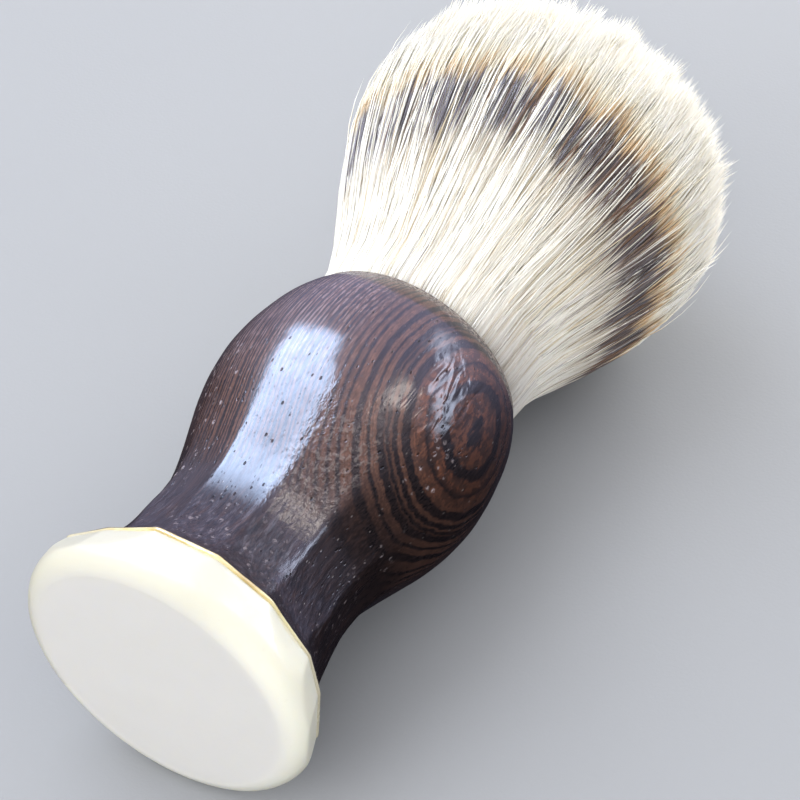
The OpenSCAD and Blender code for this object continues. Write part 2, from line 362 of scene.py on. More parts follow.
    h = g.add_(h, g.mul(g.mul(ribs, on_neck), 0.075))
    h = g.add_(h, g.mul(g.mul(crumb, haze), 0.22))
    h = g.add_(h, g.mul(fleck, 0.03))
    h = g.sub(h, g.mul(fine_p, 0.012))
    h = g.sub(h, g.mul(open_p, 0.045))
    h = g.add_(h, g.mul(fib, 0.007))
    nrm = g.bump(h, MM)
    g.put(b.inputs["Coat Normal"], nrm)
    g.put(b.inputs["Normal"], nrm)
    return m


# ----------------------------------------------------------------- other materials
def resin_material():
    m, g, b, _ = material("ivory_resin")
    p = g.mm()
    x, y, z = g.split(p)
    r = g.math("SQRT", g.add_(g.mul(x, x), g.mul(y, y)))
    cloud = g.noise(g.vmul(p, (0.11, 0.11, 0.11)), 1.0, 3.0)
    fine = g.noise(g.vmul(p, (1.6, 1.6, 1.6)), 1.0, 3.0, 0.6)
    face = g.mix(cloud, rgb(0.725, 0.712, 0.685), rgb(0.695, 0.682, 0.655))
    edge = g.mix(cloud, rgb(0.660, 0.650, 0.562), rgb(0.645, 0.630, 0.532))
    side = g.math("MAXIMUM", g.step(r, 13.6, 16.6), g.step(z, 0.4, 2.4))
    ang = g.math("MULTIPLY", g.math("ARCTAN2", y, x), 180 / math.pi)
    # Painted light: the side wall is painted lighter and creamier past azimuth 2, fading in from azimuth -42, where the
    # lamps leave it dim.
    edge = g.mix(g.step(ang, -42.0, 2.0), edge, g.mix(cloud, rgb(0.87, 0.86, 0.745), rgb(0.84, 0.825, 0.70)))
    col = g.mix(side, face, edge)
    # Amber glue creeps over the top edge in patches.
    creep = g.noise(g.vmul(p, (0.32, 0.32, 0.9)), 1.0, 2.0)
    shown = g.mul(g.step(ang, -125.0, -85.0, 0.35, 1.0), g.step(ang, 22.0, -2.0, 0.2, 1.0))
    amber = g.mul(g.mul(g.step(g.add_(z, g.mul(g.sub(creep, 0.5), 1.8)), 5.30, 6.00), shown), 0.55)
    col = g.mix(amber, col, rgb(0.76, 0.64, 0.30))
    col = g.mix(g.mul(g.step(fine, 0.62, 0.80), 0.10), col, rgb(0.45, 0.40, 0.30))
    g.put(b.inputs["Base Color"], col)
    g.put(b.inputs["Roughness"], g.add_(g.mul(fine, 0.16), 0.26))
    b.inputs["Specular IOR Level"].default_value = 0.42
    b.inputs["Subsurface Weight"].default_value = 0.30
    b.inputs["Subsurface Radius"].default_value = (1.0, 0.85, 0.55)
    b.inputs["Subsurface Scale"].default_value = 0.0035
    b.inputs["Coat Weight"].default_value = 0.25
    b.inputs["Coat Roughness"].default_value = 0.18
    # Sanding marks in one direction, and slow unevenness from hand finishing.
    sand = g.noise(g.vmul(p, (0.25, 5.0, 5.0)), 1.0, 3.0, 0.6)
    slow = g.noise(g.vmul(p, (0.30, 0.30, 0.30)), 1.0, 1.0)
    h = g.add_(g.mul(sand, 0.006), g.mul(slow, 0.07))
    g.put(b.inputs["Normal"], g.bump(h, MM))
    return m


def glue_material():
    m, g, b, _ = material("amber_glue")
    p = g.mm()
    n = g.noise(g.vmul(p, (0.35, 0.35, 0.9)), 1.0, 3.0)
    col = g.ramp(n, [(0.30, rgb(0.47, 0.35, 0.14)), (0.48, rgb(0.70, 0.575, 0.27)), (0.66, rgb(0.82, 0.75, 0.46))])
    # It thins to a clear film that shows the resin's own colour away from the full side.
    x, y, z = g.split(p)
    ang = g.math("MULTIPLY", g.math("ARCTAN2", y, x), 180 / math.pi)
    film = g.math("MAXIMUM", g.step(ang, -72.0, -105.0), g.step(ang, -6.0, 12.0))
    col = g.mix(g.mul(film, 0.85), col, rgb(0.66, 0.62, 0.49))
    g.put(b.inputs["Base Color"], col)
    g.put(b.inputs["Roughness"], g.add_(g.mul(n, 0.22), 0.14))
    b.inputs["Coat Weight"].default_value = 0.6
    b.inputs["Coat Roughness"].default_value = 0.08
    g.put(b.inputs["Normal"], g.bump(g.noise(g.vmul(p, (1.3, 1.3, 1.3)), 1.0, 2.0), 0.08 * MM))
    return m


def plain_grain(name, light, dark, scale, rough, depth):
    """A material for a piece that is shut inside: two tones, grain and roughness from noise."""
    m, g, b, _ = material(name)
    p = g.mm()
    n = g.noise(g.vmul(p, scale), 1.0, 3.0, 0.6)
    g.put(b.inputs["Base Color"], g.mix(g.step(n, 0.32, 0.68), dark, light))
    g.put(b.inputs["Roughness"], g.add_(g.mul(n, 0.2), rough))
    g.put(b.inputs["Normal"], g.bump(n, depth * MM))
    return m


def hair_colour(g, s, dark, low, warm, tint):
    """Badger hair by distance s (mm) from the top of its dark band: cream root, dark band, amber edge, white tip. dark, low, warm and tint are 0 to 1, one value for each hair."""
    cream = g.mix(g.step(tint, 0.50, 0.92), rgb(0.93, 0.905, 0.825), rgb(0.66, 0.56, 0.39))
    tip = g.mix(tint, rgb(0.955, 0.943, 0.895), rgb(0.90, 0.845, 0.70))
    upper = g.step(s, -0.2, -2.2)
    lo_a = g.add_(g.mul(low, -2.8), -8.4)
    lower = g.step(s, lo_a, g.add_(lo_a, 2.8))
    band = g.mul(g.mul(upper, lower), dark)
    black = g.mix(g.step(warm, 0.55, 0.95), g.mix(low, rgb(0.044, 0.038, 0.043), rgb(0.200, 0.177, 0.188)), rgb(0.185, 0.105, 0.060))
    # Amber where the band meets the white tip, and a faint tan shoulder under it.
    up = g.mul(g.mul(g.step(s, 2.3, 0.2), g.step(s, -3.4, -1.2)), g.step(dark, 0.05, 0.5))
    glow = g.mul(g.step(s, 5.0, 1.0), g.step(s, -2.0, 0.0))
    under = g.mul(g.mul(g.step(s, g.sub(lo_a, 5.0), lo_a), g.step(s, g.add_(lo_a, 4.0), g.add_(lo_a, 1.0))), g.mul(dark, 0.45))
    col = g.mix(g.step(s, -3.0, 2.5), cream, tip)
    col = g.mix(g.mul(glow, g.add_(0.22, g.mul(warm, 0.35))), col, rgb(0.93, 0.80, 0.50))
    amber = g.mix(warm, rgb(0.60, 0.45, 0.27), rgb(0.58, 0.34, 0.13))
    col = g.mix(g.mul(up, 0.85), col, amber)
    col = g.mix(under, col, rgb(0.44, 0.36, 0.26))
    return g.mix(band, col, black)


def hair_material():
    m, g, b, _ = material("badger_hair")
    uv = g.add("ShaderNodeUVMap", uv_map=UV)
    u, v, _z = g.split(uv.outputs[0])
    kind = g.math("FLOOR", g.mul(u, 64.0))
    # Kinds 32 to 47 and 48 to 63 each run from a deep, short band to a paler, longer one.
    r1, r2, r3 = g.math("DIVIDE", g.math("MODULO", kind, 16.0), 15.0), g.white(g.add_(kind, 91.7)), g.white(g.add_(kind, 201.3))
    # From kind 48 on the dark band is the warm brown sort.
    r3 = g.add_(g.mul(r3, 0.5), g.step(kind, 47.0, 48.0, 0.0, 0.5))
    s = g.sub(g.mul(v, 52.0), 36.0)
    # The first 26 kinds are light from root to tip, cream up to kind 12 and tan after it. From kind 32 on they carry the dark band.
    dark = g.step(kind, 26.0, 31.0)
    r2 = g.add_(g.mul(r2, g.add_(g.mul(dark, 0.5), 0.5)), g.mul(g.step(kind, 12.0, 13.0, 0.0, 0.5), g.sub(1.0, dark)))
    streak = g.noise1(g.add_(g.mul(v, 9.0), g.mul(kind, 13.0)), 1.0, 2.0)
    col = hair_colour(g, s, dark, r1, r3, r2)
    col = g.mix(g.mul(g.sub(streak, 0.35), 0.25), col, g.mix(0.5, col, rgb(0.60, 0.50, 0.36)))
    # Kinds 20 to 25 are grey hairs: painted shade, set on the side from azimuth 15 to 140.
    col = g.mix(g.mul(g.mul(g.step(kind, 19.0, 20.0), g.sub(1.0, dark)), g.step(s, 2.0, -6.0, 0.15, 0.85)), col, rgb(0.50, 0.465, 0.445))
    # Painted shade: greyer near the socket on the side that lies down. Near the roots some hairs turn darker and brown.
    x, y, z = g.split(g.mm())
    ang = g.math("MULTIPLY", g.math("ARCTAN2", y, x), 180 / math.pi)
    col = g.mix(g.mul(g.mul(g.step(z, 60.0, 50.0), g.step(ang, -34.0, 10.0)), 0.62), col, rgb(0.40, 0.37, 0.355))
    col = g.mix(g.mul(g.step(s, -27.0, -30.5), g.step(g.white(g.add_(kind, 17.2)), 0.2, 0.9, 0.15, 0.75)), col, rgb(0.33, 0.25, 0.17))
    g.put(b.inputs["Base Color"], col)
    g.put(b.inputs["Roughness"], g.add_(g.mul(r2, 0.15), 0.42))
    b.inputs["Specular IOR Level"].default_value = 0.40
    b.inputs["Sheen Weight"].default_value = 0.15
    b.inputs["Sheen Roughness"].default_value = 0.4
    return m


def core_material():
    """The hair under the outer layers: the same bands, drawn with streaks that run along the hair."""
    m, g, b, _ = material("badger_hair_core")
    p = g.mm()
    x, y, z = g.split(p)
    ang = g.math("ARCTAN2", y, x)
    ca, sa = g.math("COSINE", ang), g.math("SINE", ang)
    st = g.noise(g.vec(g.mul(ca, 26.0), g.mul(sa, 26.0), g.mul(z, 0.07)), 1.0, 3.0, 0.6)
    big = g.noise(g.vec(g.mul(ca, 7.0), g.mul(sa, 7.0), g.mul(z, 0.05)), 1.0, 2.0)
    s = g.add_(g.sub(z, 78.6), g.mul(g.sub(big, 0.5), 4.0))
    s = g.add_(s, g.math("MINIMUM", g.mul(g.sub(1.0, g.math("COSINE", g.add_(ang, math.radians(30)))), 5.4), 4.5))
    # The band is faint on the side at azimuth -140.
    faint = g.mul(g.step(ang, math.radians(-98), math.radians(-124)), 0.75)
    col = hair_colour(g, s, g.mul(g.step(st, 0.38, 0.54), g.sub(1.0, faint)), big, g.step(st, 0.3, 0.7), g.add_(0.25, g.mul(st, 0.5)))
    col = g.mix(g.mul(g.step(s, 3.0, -2.0), 0.25), col, rgb(0.70, 0.58, 0.40))
    g.put(b.inputs["Base Color"], col)
    g.put(b.inputs["Roughness"], g.add_(g.mul(st, 0.2), 0.5))
    g.put(b.inputs["Normal"], g.bump(st, 0.25 * MM))
    return m


def stage_material(name, colour):
    m, g, b, out = material(name)
    p = g.mm()
    n = g.noise(g.vmul(p, (0.02, 0.02, 0.02)), 1.0, 3.0)
    fine = g.noise(g.vmul(p, (2.5, 2.5, 2.5)), 1.0, 2.0)
    c2 = tuple(c * 0.965 for c in colour[:3]) + (1.0,)
    g.put(b.inputs["Base Color"], g.mix(n, colour, c2))
    b.inputs["Roughness"].default_value = 0.85
    b.inputs["Specular IOR Level"].default_value = 0.15
    g.put(b.inputs["Normal"], g.bump(fine, 0.02 * MM))
    geo = g.add("ShaderNodeNewGeometry")
    clear = g.add("ShaderNodeBsdfTransparent")
    mixed = g.add("ShaderNodeMixShader")
    g.put(mixed.inputs[0], geo.outputs["Backfacing"])
    g.put(mixed.inputs[1], b.outputs[0])
    g.put(mixed.inputs[2], clear.outputs[0])
    g.put(out.inputs[0], mixed.outputs[0])
    return m


# ----------------------------------------------------------------- mesh helper
def make_mesh(name, verts_mm, faces, sizes, uvs, mat, smooth=True):
    """One mesh object from flat arrays: verts (n, 3) in mm, faces as one run of vertex numbers, sizes of the faces, uvs for each corner."""
    me = bpy.data.meshes.new(name)
    me.vertices.add(len(verts_mm))
    me.vertices.foreach_set("co", (np.asarray(verts_mm) * MM).astype(np.float32).ravel())
    me.loops.add(len(faces))
    me.loops.foreach_set("vertex_index", np.asarray(faces, np.int32))
    me.polygons.add(len(sizes))
    starts = np.concatenate([[0], np.cumsum(sizes)[:-1]]).astype(np.int32)
    me.polygons.foreach_set("loop_start", starts)
    me.update(calc_edges=True)
    layer = me.uv_layers.new(name=UV)
    layer.data.foreach_set("uv", np.asarray(uvs, np.float32).ravel())
    me.polygons.foreach_set("use_smooth", np.full(len(sizes), smooth))
    me.materials.append(mat)
    me.validate()
    me.update()
    ob = bpy.data.objects.new(name, me)
    scene.collection.objects.link(ob)
    return ob


def lathe_grid(name, rows, mat, closed_start=True, closed_end=True):
    """A closed skin from rows of points, each row one turn of n points, with a centre point at each end. UVs are turn by length."""
    rows = np.asarray(rows)                      # m, n, 3
    m, n, _ = rows.shape
    pts = rows.reshape(-1, 3)
    c0, c1 = rows[0].mean(0), rows[-1].mean(0)
    pts = np.vstack([pts, c0, c1])
    step = np.linalg.norm(np.diff(rows.mean(1), axis=0), axis=1)
    step = np.maximum(step, np.linalg.norm(np.diff(rows[:, 0], axis=0), axis=1))
    v = np.concatenate([[0], np.cumsum(step)])
    v = 0.02 + 0.96 * v / v[-1]
    j = np.arange(n)
    jn = (j + 1) % n
    i = np.arange(m - 1)[:, None]
    quads = np.stack([i * n + j, i * n + jn, (i + 1) * n + jn, (i + 1) * n + j], -1).reshape(-1, 4)
    u0, u1 = j / n, (j + 1) / n
    va, vb = np.broadcast_to(v[:-1, None], (m - 1, n)), np.broadcast_to(v[1:, None], (m - 1, n))
    ua, ub = np.broadcast_to(u0, (m - 1, n)), np.broadcast_to(u1, (m - 1, n))
    quv = np.stack([ua, va, ub, va, ub, vb, ua, vb], -1).reshape(-1, 4, 2)
    t0 = np.stack([np.full(n, m * n), jn, j], -1)
    t1 = np.stack([np.full(n, m * n + 1), (m - 1) * n + j, (m - 1) * n + jn], -1)
    uv0 = np.stack([(u0 + u1) / 2, np.full(n, 0.0), u1, np.full(n, v[0]), u0, np.full(n, v[0])], -1).reshape(-1, 3, 2)
    uv1 = np.stack([(u0 + u1) / 2, np.full(n, 1.0), u0, np.full(n, v[-1]), u1, np.full(n, v[-1])], -1).reshape(-1, 3, 2)
    faces = np.concatenate([quads.ravel(), t0.ravel(), t1.ravel()])
    sizes = np.concatenate([np.full(len(quads), 4), np.full(2 * n, 3)])
    uvs = np.concatenate([quv.reshape(-1, 2), uv0.reshape(-1, 2), uv1.reshape(-1, 2)])
    return make_mesh(name, pts, faces, sizes, uvs, mat)


def smoothstep(x, a, b):
    t = np.clip((x - a) / (b - a), 0, 1)
    return t * t * (3 - 2 * t)


def curve_through(xs, ys):
    """A smooth function through points that doesn't overshoot between them."""
    xs, ys = np.asarray(xs, float), np.asarray(ys, float)
    h, d = np.diff(xs), np.diff(ys) / np.diff(xs)
    k = np.zeros(len(xs))
    k[0], k[-1] = d[0], d[-1]
    for i in range(1, len(xs) - 1):
        if d[i - 1] * d[i] > 0:
            w1, w2 = 2 * h[i] + h[i - 1], h[i] + 2 * h[i - 1]
            k[i] = (w1 + w2) / (w1 / d[i - 1] + w2 / d[i])

    def f(x):
        x = np.clip(x, xs[0], xs[-1])
        i = np.clip(np.searchsorted(xs, x) - 1, 0, len(h) - 1)
        t = (x - xs[i]) / h[i]
        return (ys[i] * (1 + 2 * t) * (1 - t) ** 2 + k[i] * h[i] * t * (1 - t) ** 2
                + ys[i + 1] * t * t * (3 - 2 * t) + k[i + 1] * h[i] * t * t * (t - 1))
    return f


# ----------------------------------------------------------------- handle
# Hand-cut flats: the edges between them start 14 to the turn at the foot and run together to 12 round the neck.
FOOT_EDGES = np.array([-114.5, -90, -64, -40, -16.7, 8.6, 29, 57.3, 83, 110, 137, 163, 190, 217.0])
FOOT_OUT = np.array([16.42, 15.55, 16.62, 16.92, 16.72, 16.15, 15.42, 16.10, 16.30, 16.42, 16.35, 16.50, 16.38, 16.45])
NECK_EDGES = np.array([-136, -107, -75, -42.5, -13, 20, 20.5, 50, 80, 110, 139, 167, 195, 223.5])


def flats_radius(phi, edges, corner, spread=0.0):
    """Distance from the axis to a ring of flats, with the edges between them at these angles and this far out. spread moves every flat outwards."""
    e = np.radians(edges)
    out = np.broadcast_to(np.asarray(corner, float), e.shape)
    e2, out2 = np.append(e, e[0] + TAU), np.append(out, out[0])
    a = e[0] + (phi - e[0]) % TAU
    k = np.clip(np.searchsorted(e2, a, side="right") - 1, 0, len(e) - 1)
    x1, y1 = out2[k] * np.cos(e2[k]), out2[k] * np.sin(e2[k])
    x2, y2 = out2[k + 1] * np.cos(e2[k + 1]), out2[k + 1] * np.sin(e2[k + 1])
    dx, dy = x2 - x1, y2 - y1
    return (x1 * y2 - x2 * y1) / (np.cos(a) * dy - np.sin(a) * dx) + spread


def soften(r, sigma_deg):
    """Rounds a ring of radii over an angle."""
    n = len(r)
    k = np.fft.rfftfreq(n, 1.0 / n)
    return np.fft.irfft(np.fft.rfft(r) * np.exp(-0.5 * (k * math.radians(sigma_deg)) ** 2), n)


def waves(phi, z, seed, count, k_hi, z_len, amp):
    """Slow unevenness of a hand-finished surface, the same on each run."""
    rng = np.random.default_rng(seed)
    out = np.zeros_like(phi)
    for _ in range(count):
        k = rng.integers(1, k_hi + 1)
        out = out + np.sin(k * phi + TAU * z / (z_len * rng.uniform(0.6, 1.8)) * rng.choice([-1, 1]) + rng.uniform(0, TAU)) * rng.uniform(0.4, 1.0)
    return out * amp / math.sqrt(count)


WOOD_R = curve_through(
    [6.20, 6.75, 7.6, 8.90, 10.4, 12.41, 14.6, 16.81, 19.3, 22.09, 25.0, 28.23, 31.2, 34.38, 38.0, 40.54, 43.2, 45.81, 48.0, 49.75],
    [16.25, 15.62, 14.72, 13.86, 13.20, 12.68, 12.28, 12.09, 12.20, 12.71, 13.58, 14.66, 15.66, 16.38, 16.72, 16.62, 16.26, 15.71, 14.93, 14.02])


def build_handle(mat):
    n = 384
    phi = np.arange(n) / n * TAU
    dowel_lo, dowel_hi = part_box("locating_dowel")
    wood_lo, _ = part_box("handle")
    bore_r, bore_top, z0 = dowel_hi.x / MM + 0.02, dowel_hi.z / MM + 0.02, wood_lo.z / MM
    ring = lambda r, z: np.stack([r * np.cos(phi), r * np.sin(phi), np.full(n, z) if np.isscalar(z) else z], -1)
    rows = []
    for r in (1.0, bore_r):
        rows.append(ring(np.full(n, r), bore_top))
    for z in np.linspace(bore_top, z0, 4)[1:]:
        rows.append(ring(np.full(n, bore_r), z))

    def outer(z):
        f = smoothstep(z, z0, 15.5)
        edges = FOOT_EDGES * (1 - f) + NECK_EDGES * f
        base = float(WOOD_R(z))
        own = FOOT_OUT / 16.45 * (1 - f) + f
        poly = soften(flats_radius(phi, edges, base / 0.985 * own), 0.85 + 1.3 * smoothstep(z, 10, 26))
        w = 1 - smoothstep(z, 19.0, 29.5)
        r = poly * w + base * (1 - w)
        r = r + waves(phi, np.full(n, z), 5, 9, 7, 11.0, 0.035) * smoothstep(z, z0, 9)
        return r
    foot_ring = outer(z0)
    for f in (0.4, 0.7, 0.9, 0.985):
        rows.append(ring(bore_r + (foot_ring - bore_r) * f, z0))
    zs = np.concatenate([z0 + np.array([0.03, 0.10, 0.2]), np.linspace(z0 + 0.34, 49.75, 222)])
    for z in zs:
        rows.append(ring(outer(z), z))
    # Rounded rim, then the socket's wall and floor.
    top_r = float(WOOD_R(49.75))
    sock = 12.62
    for a in np.radians([20, 45, 68, 90, 112, 140, 165]):
        rc = (top_r + sock) / 2
        hw = (top_r - sock) / 2
        rows.append(ring(np.full(n, rc + hw * math.cos(a)), 49.72 + 0.48 * math.sin(a)))
    _, floor_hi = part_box("socket_epoxy")
    lo_epoxy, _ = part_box("socket_epoxy")
    floor_z = lo_epoxy.z / MM - 0.01
    for z in (49.4, 46.0, 42.0, floor_z):
        rows.append(ring(np.full(n, sock), z))
    for r in (8.0, 2.0):
        rows.append(ring(np.full(n, r), floor_z))
    return lathe_grid("handle_wood", rows, mat)


# ----------------------------------------------------------------- foot
def build_foot(mat):
    n = 384
    phi = np.arange(n) / n * TAU
    lo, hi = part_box("foot_disc")
    top, r_max, rnd = hi.z / MM, 17.0, 2.6
    d_lo, d_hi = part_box("locating_dowel")
    bore_r, bore_floor = d_hi.x / MM + 0.02, d_lo.z / MM - 0.02
    ring = lambda r, z: np.stack([r * np.cos(phi), r * np.sin(phi), np.full(n, z)], -1)
    def outer(z):
        spread = (top - z) * math.tan(math.radians(19.5))
        poly = soften(flats_radius(phi, FOOT_EDGES, FOOT_OUT, spread), 0.7)
        if z < rnd:
            circ = r_max - rnd + math.sqrt(max(0.0, rnd ** 2 - (rnd - z) ** 2))
        else:
            circ = r_max
        k = 0.28
        h = np.clip(0.5 + 0.5 * (circ - poly) / k, 0, 1)
        r = circ * (1 - h) + poly * h - k * h * (1 - h)
        return r + waves(phi, np.full(n, z), 11, 6, 5, 20.0, 0.03)
    rows = []
    for r in (0.8, 4.0, 8.0, 12.0, 13.6):
        rows.append(ring(np.full(n, r) * 1.0, 0.0))
    angles = np.linspace(2, 90, 40)
    for a in np.radians(angles):
        z = rnd * (1 - math.cos(a))
        rows.append(ring(outer(z), z))
    for z in np.linspace(rnd, top - 0.30, 60)[1:]:
        rows.append(ring(outer(z), z))
    # A small broken edge at the top, then the joint face down into the dowel bore.
    edge = outer(top)
    for a in np.radians([20, 40, 60, 80]):
        rows.append(ring(edge - 0.22 * (1 - math.cos(a)), top - 0.22 + 0.22 * math.sin(a)))
    for f in (0.9, 0.6, 0.3):
        rows.append(ring(bore_r + (edge - 0.3 - bore_r) * f, top))
    rows.append(ring(np.full(n, bore_r), top))
    rows.append(ring(np.full(n, bore_r), bore_floor))
    rows.append(ring(np.full(n, 1.0), bore_floor))
    return lathe_grid("foot_resin", rows, mat)


def build_glue(mat):
    """The squeezed-out line of glue between wood and foot: thin, uneven, with a few fuller beads."""
    n = 360
    phi = np.arange(n) / n * TAU
    lo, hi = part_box("foot_glue_line")
    z0, z1 = lo.z / MM, hi.z / MM
    rng = np.random.default_rng(23)
    k = np.zeros(n)
    for _ in range(14):
        c, w, a = rng.uniform(0, TAU), rng.uniform(0.08, 0.35), rng.uniform(0.4, 1.0)
        d = np.angle(np.exp(1j * (phi - c)))
        k += a * np.exp(-0.5 * (d / w) ** 2)
    # Fullest on the side that shows most amber.
    d = np.angle(np.exp(1j * (phi - math.radians(-30))))
    k += 1.1 * np.exp(-0.5 * (d / 0.9) ** 2)
    k = np.clip(k, 0.0, 2.0) / 2.0
    edge = soften(flats_radius(phi, FOOT_EDGES, FOOT_OUT + 0.02), 0.9)
    proud = -0.14 + 0.30 * k
    half = 0.15 + 0.20 * k
    zc = (z0 + z1) / 2
    d_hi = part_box("locating_dowel")[1].x / MM + 0.02
    rows = []
    for f in (0.0, 0.5, 0.93):
        rows.append(np.stack([(d_hi + (edge - 0.6 - d_hi) * f) * np.cos(phi), (d_hi + (edge - 0.6 - d_hi) * f) * np.sin(phi), np.full(n, z0)], -1))
    for a in np.radians(np.linspace(-80, 80, 9)):
        r = edge - 0.45 + (proud + 0.45) * (1 - (1 - math.cos(a)) * 0.75)
        z = zc + half * math.sin(a)
        rows.append(np.stack([r * np.cos(phi), r * np.sin(phi), z], -1))
    for f in (0.93, 0.5, 0.0):
        rows.append(np.stack([(d_hi + (edge - 0.6 - d_hi) * f) * np.cos(phi), (d_hi + (edge - 0.6 - d_hi) * f) * np.sin(phi), np.full(n, z1)], -1))
    # A ring with a hole: the last row joins the first.
    rows = np.array(rows)
    m = len(rows)
    pts = rows.reshape(-1, 3)
    j = np.arange(n)
    jn = (j + 1) % n
    i = np.arange(m)[:, None]
    i2 = (i + 1) % m
    quads = np.stack([i * n + j, i * n + jn, i2 * n + jn, i2 * n + j], -1).reshape(-1, 4)
    v0 = np.broadcast_to(i / m, (m, n))
    v1 = np.broadcast_to((i + 1) / m, (m, n))
    ua, ub = np.broadcast_to(j / n, (m, n)), np.broadcast_to((j + 1) / n, (m, n))
    quv = np.stack([ua, v0, ub, v0, ub, v1, ua, v1], -1).reshape(-1, 2)
    return make_mesh("glue_bead", pts, quads.ravel(), np.full(len(quads), 4), quv, mat)


# ----------------------------------------------------------------- hair
LEAN = 2.87                     # degrees
LEAN_AXIS = Vector((0.69749, -0.41020, -0.58757)).normalized()
Z_ROOT = 47.2


FLARE = curve_through([45.0, 49.6, 51.0, 53.0, 57.3, 62.5, 67.5, 72.5, 78.5, 84.5], [12.2, 12.45, 13.10, 13.2, 13.65, 15.70, 17.92, 19.86, 21.85, 22.80])
CROWN = curve_through([0.0, 4.0, 8.7, 13.87, 17.68, 20.76, 22.34, 22.85], [104.2, 103.7, 102.4, 99.9, 96.4, 92.4, 88.4, 84.4])


def flare(z):
    """How far out the outermost hair runs at height z."""
    z = np.asarray(z, float)
    return np.where(z > 84.5, 22.80 + 0.03 * (z - 84.5), FLARE(np.minimum(z, 84.5)))


def dome(r):
    """Height of the crown at distance r from the axis."""
    return CROWN(np.abs(r))


def tip_height(rho):
    z = np.full(len(rho), 95.0)
    for _ in range(30):
        z = 0.5 * z + 0.5 * dome(np.minimum(rho * flare(z), 22.84))
    return z


def hair_piece(name, pos, rad, kind, band_top, mat):
    """Closed three-sided tubes along pos (n hairs, m rings, 3), each ending in a point. The UVs are a strip for each kind of hair, along the hair by height."""
    n, m, _ = pos.shape
    tan = np.gradient(pos, axis=1)
    tan /= np.linalg.norm(tan, axis=2, keepdims=True)
    ref = np.zeros_like(tan)
    out = pos[:, :1] * np.array([1, 1, 0.0])
    out /= np.maximum(np.linalg.norm(out, axis=2, keepdims=True), 1e-6)
    ref[:] = out
    e1 = np.cross(tan, ref)
    e1 /= np.maximum(np.linalg.norm(e1, axis=2, keepdims=True), 1e-6)
    e2 = np.cross(tan, e1)
    rng = np.random.default_rng(abs(len(name) * 7919 + n))
    turn = rng.uniform(0, TAU, n)[:, None]
    body = []
    for k in range(3):
        a = turn + TAU * k / 3
        body.append(pos[:, :-1] + rad[:, :-1, None] * (np.cos(a)[..., None] * e1[:, :-1] + np.sin(a)[..., None] * e2[:, :-1]))
    body = np.stack(body, 2)                       # n, m-1, 3, 3
    per = (m - 1) * 3 + 1
    verts = np.concatenate([body.reshape(n, -1, 3), pos[:, -1:, :]], 1).reshape(-1, 3)
    local_q, q_uv = [], []
    for i in range(m - 2):
        for k in range(3):
            k2 = (k + 1) % 3
            local_q.append([i * 3 + k, i * 3 + k2, (i + 1) * 3 + k2, (i + 1) * 3 + k])
            q_uv.append([(k, i), (k + 1, i), (k + 1, i + 1), (k, i + 1)])
    local_t, t_uv = [], []
    for k in range(3):
        local_t.append([(m - 2) * 3 + k, (m - 2) * 3 + (k + 1) % 3, (m - 1) * 3])
        t_uv.append([(k, m - 2), (k + 1, m - 2), (k + 0.5, m - 1)])
    local_t.append([0, 2, 1])
    t_uv.append([(0, 0), (2, 0), (1, 0)])
    local_q, local_t = np.array(local_q), np.array(local_t)
    base = (np.arange(n) * per)[:, None, None]
    quads, tris = (base + local_q).reshape(-1), (base + local_t).reshape(-1)
    v_along = np.clip((pos[:, :, 2] - band_top[:, None] + 36.0) / 52.0, 0.012, 0.988)

    def corner_uv(table):
        table = np.array(table, float)             # faces, corners, 2
        k, i = table[..., 0], table[..., 1].astype(int)
        u = (kind[:, None, None] + 0.12 + 0.76 * k[None] / 3.0) / 64.0
        v = v_along[:, i]
        return np.stack([np.broadcast_to(u, v.shape), v], -1).reshape(-1, 2)
    faces = np.concatenate([quads, tris])
    sizes = np.concatenate([np.full(n * len(local_q), 4), np.full(n * len(local_t), 3)])
    uvs = np.concatenate([corner_uv(q_uv), corner_uv(t_uv)])
    return make_mesh(name, verts, faces, sizes, uvs, mat)


def lean(points):
    """Tips the knot over by a small angle about its root."""
    if not LEAN:
        return points
    r = np.array(Matrix.Rotation(math.radians(LEAN), 3, LEAN_AXIS))
    pivot = np.array([0, 0, 50.0])
    w = smoothstep(points[..., 2], 48.5, 51.5)[..., None]
    return points * (1 - w) + ((points - pivot) @ r.T + pivot) * w


def band_height(a):
    """Height of the top of the dark band at angle a. It hangs lower on the flanks."""
    return 79.4 - np.minimum(5.6 * (1 - np.cos(a + math.radians(27))), 4.2)


def dark_share(a):
    """How many of the hairs carry the dark band at angle a: fewest on the side at azimuth -100."""
    at = [-180, -150, -135, -120, -105, -90, -75, -60, -45, -25, -12, 15, 40, 90, 140, 180]
    share = [0.35, 0.14, 0.12, 0.22, 0.44, 0.52, 0.52, 0.54, 0.60, 0.70, 0.88, 0.84, 0.86, 0.84, 0.66, 0.35]
    return np.interp(np.degrees(np.angle(np.exp(1j * a))), at, share)


def warm_share(a):
    """How many of the dark hairs are the warm brown sort at angle a."""
    return np.interp(np.degrees(np.angle(np.exp(1j * a))), [-180, -110, -60, -35, -15, 35, 90, 180], [0.40, 0.12, 0.18, 0.42, 0.70, 0.75, 0.50, 0.40])


def soft_share(a):
    """How many of the cool dark hairs have the paler, greyer band at angle a."""
    return np.interp(np.degrees(np.angle(np.exp(1j * a))), [-180, -130, -100, -75, -55, -30, 0, 180], [0.50, 0.95, 0.90, 0.60, 0.35, 0.25, 0.15, 0.30])


def shade_grey_share(a):
    """How many of the tan hairs are grey instead at angle a: painted shade, most from azimuth 15 to 140."""
    return np.interp(np.degrees(np.angle(np.exp(1j * a))), [-180, -110, -10, 15, 45, 90, 140, 180], [0.20, 0.05, 0.05, 0.35, 0.80, 0.85, 0.60, 0.20])


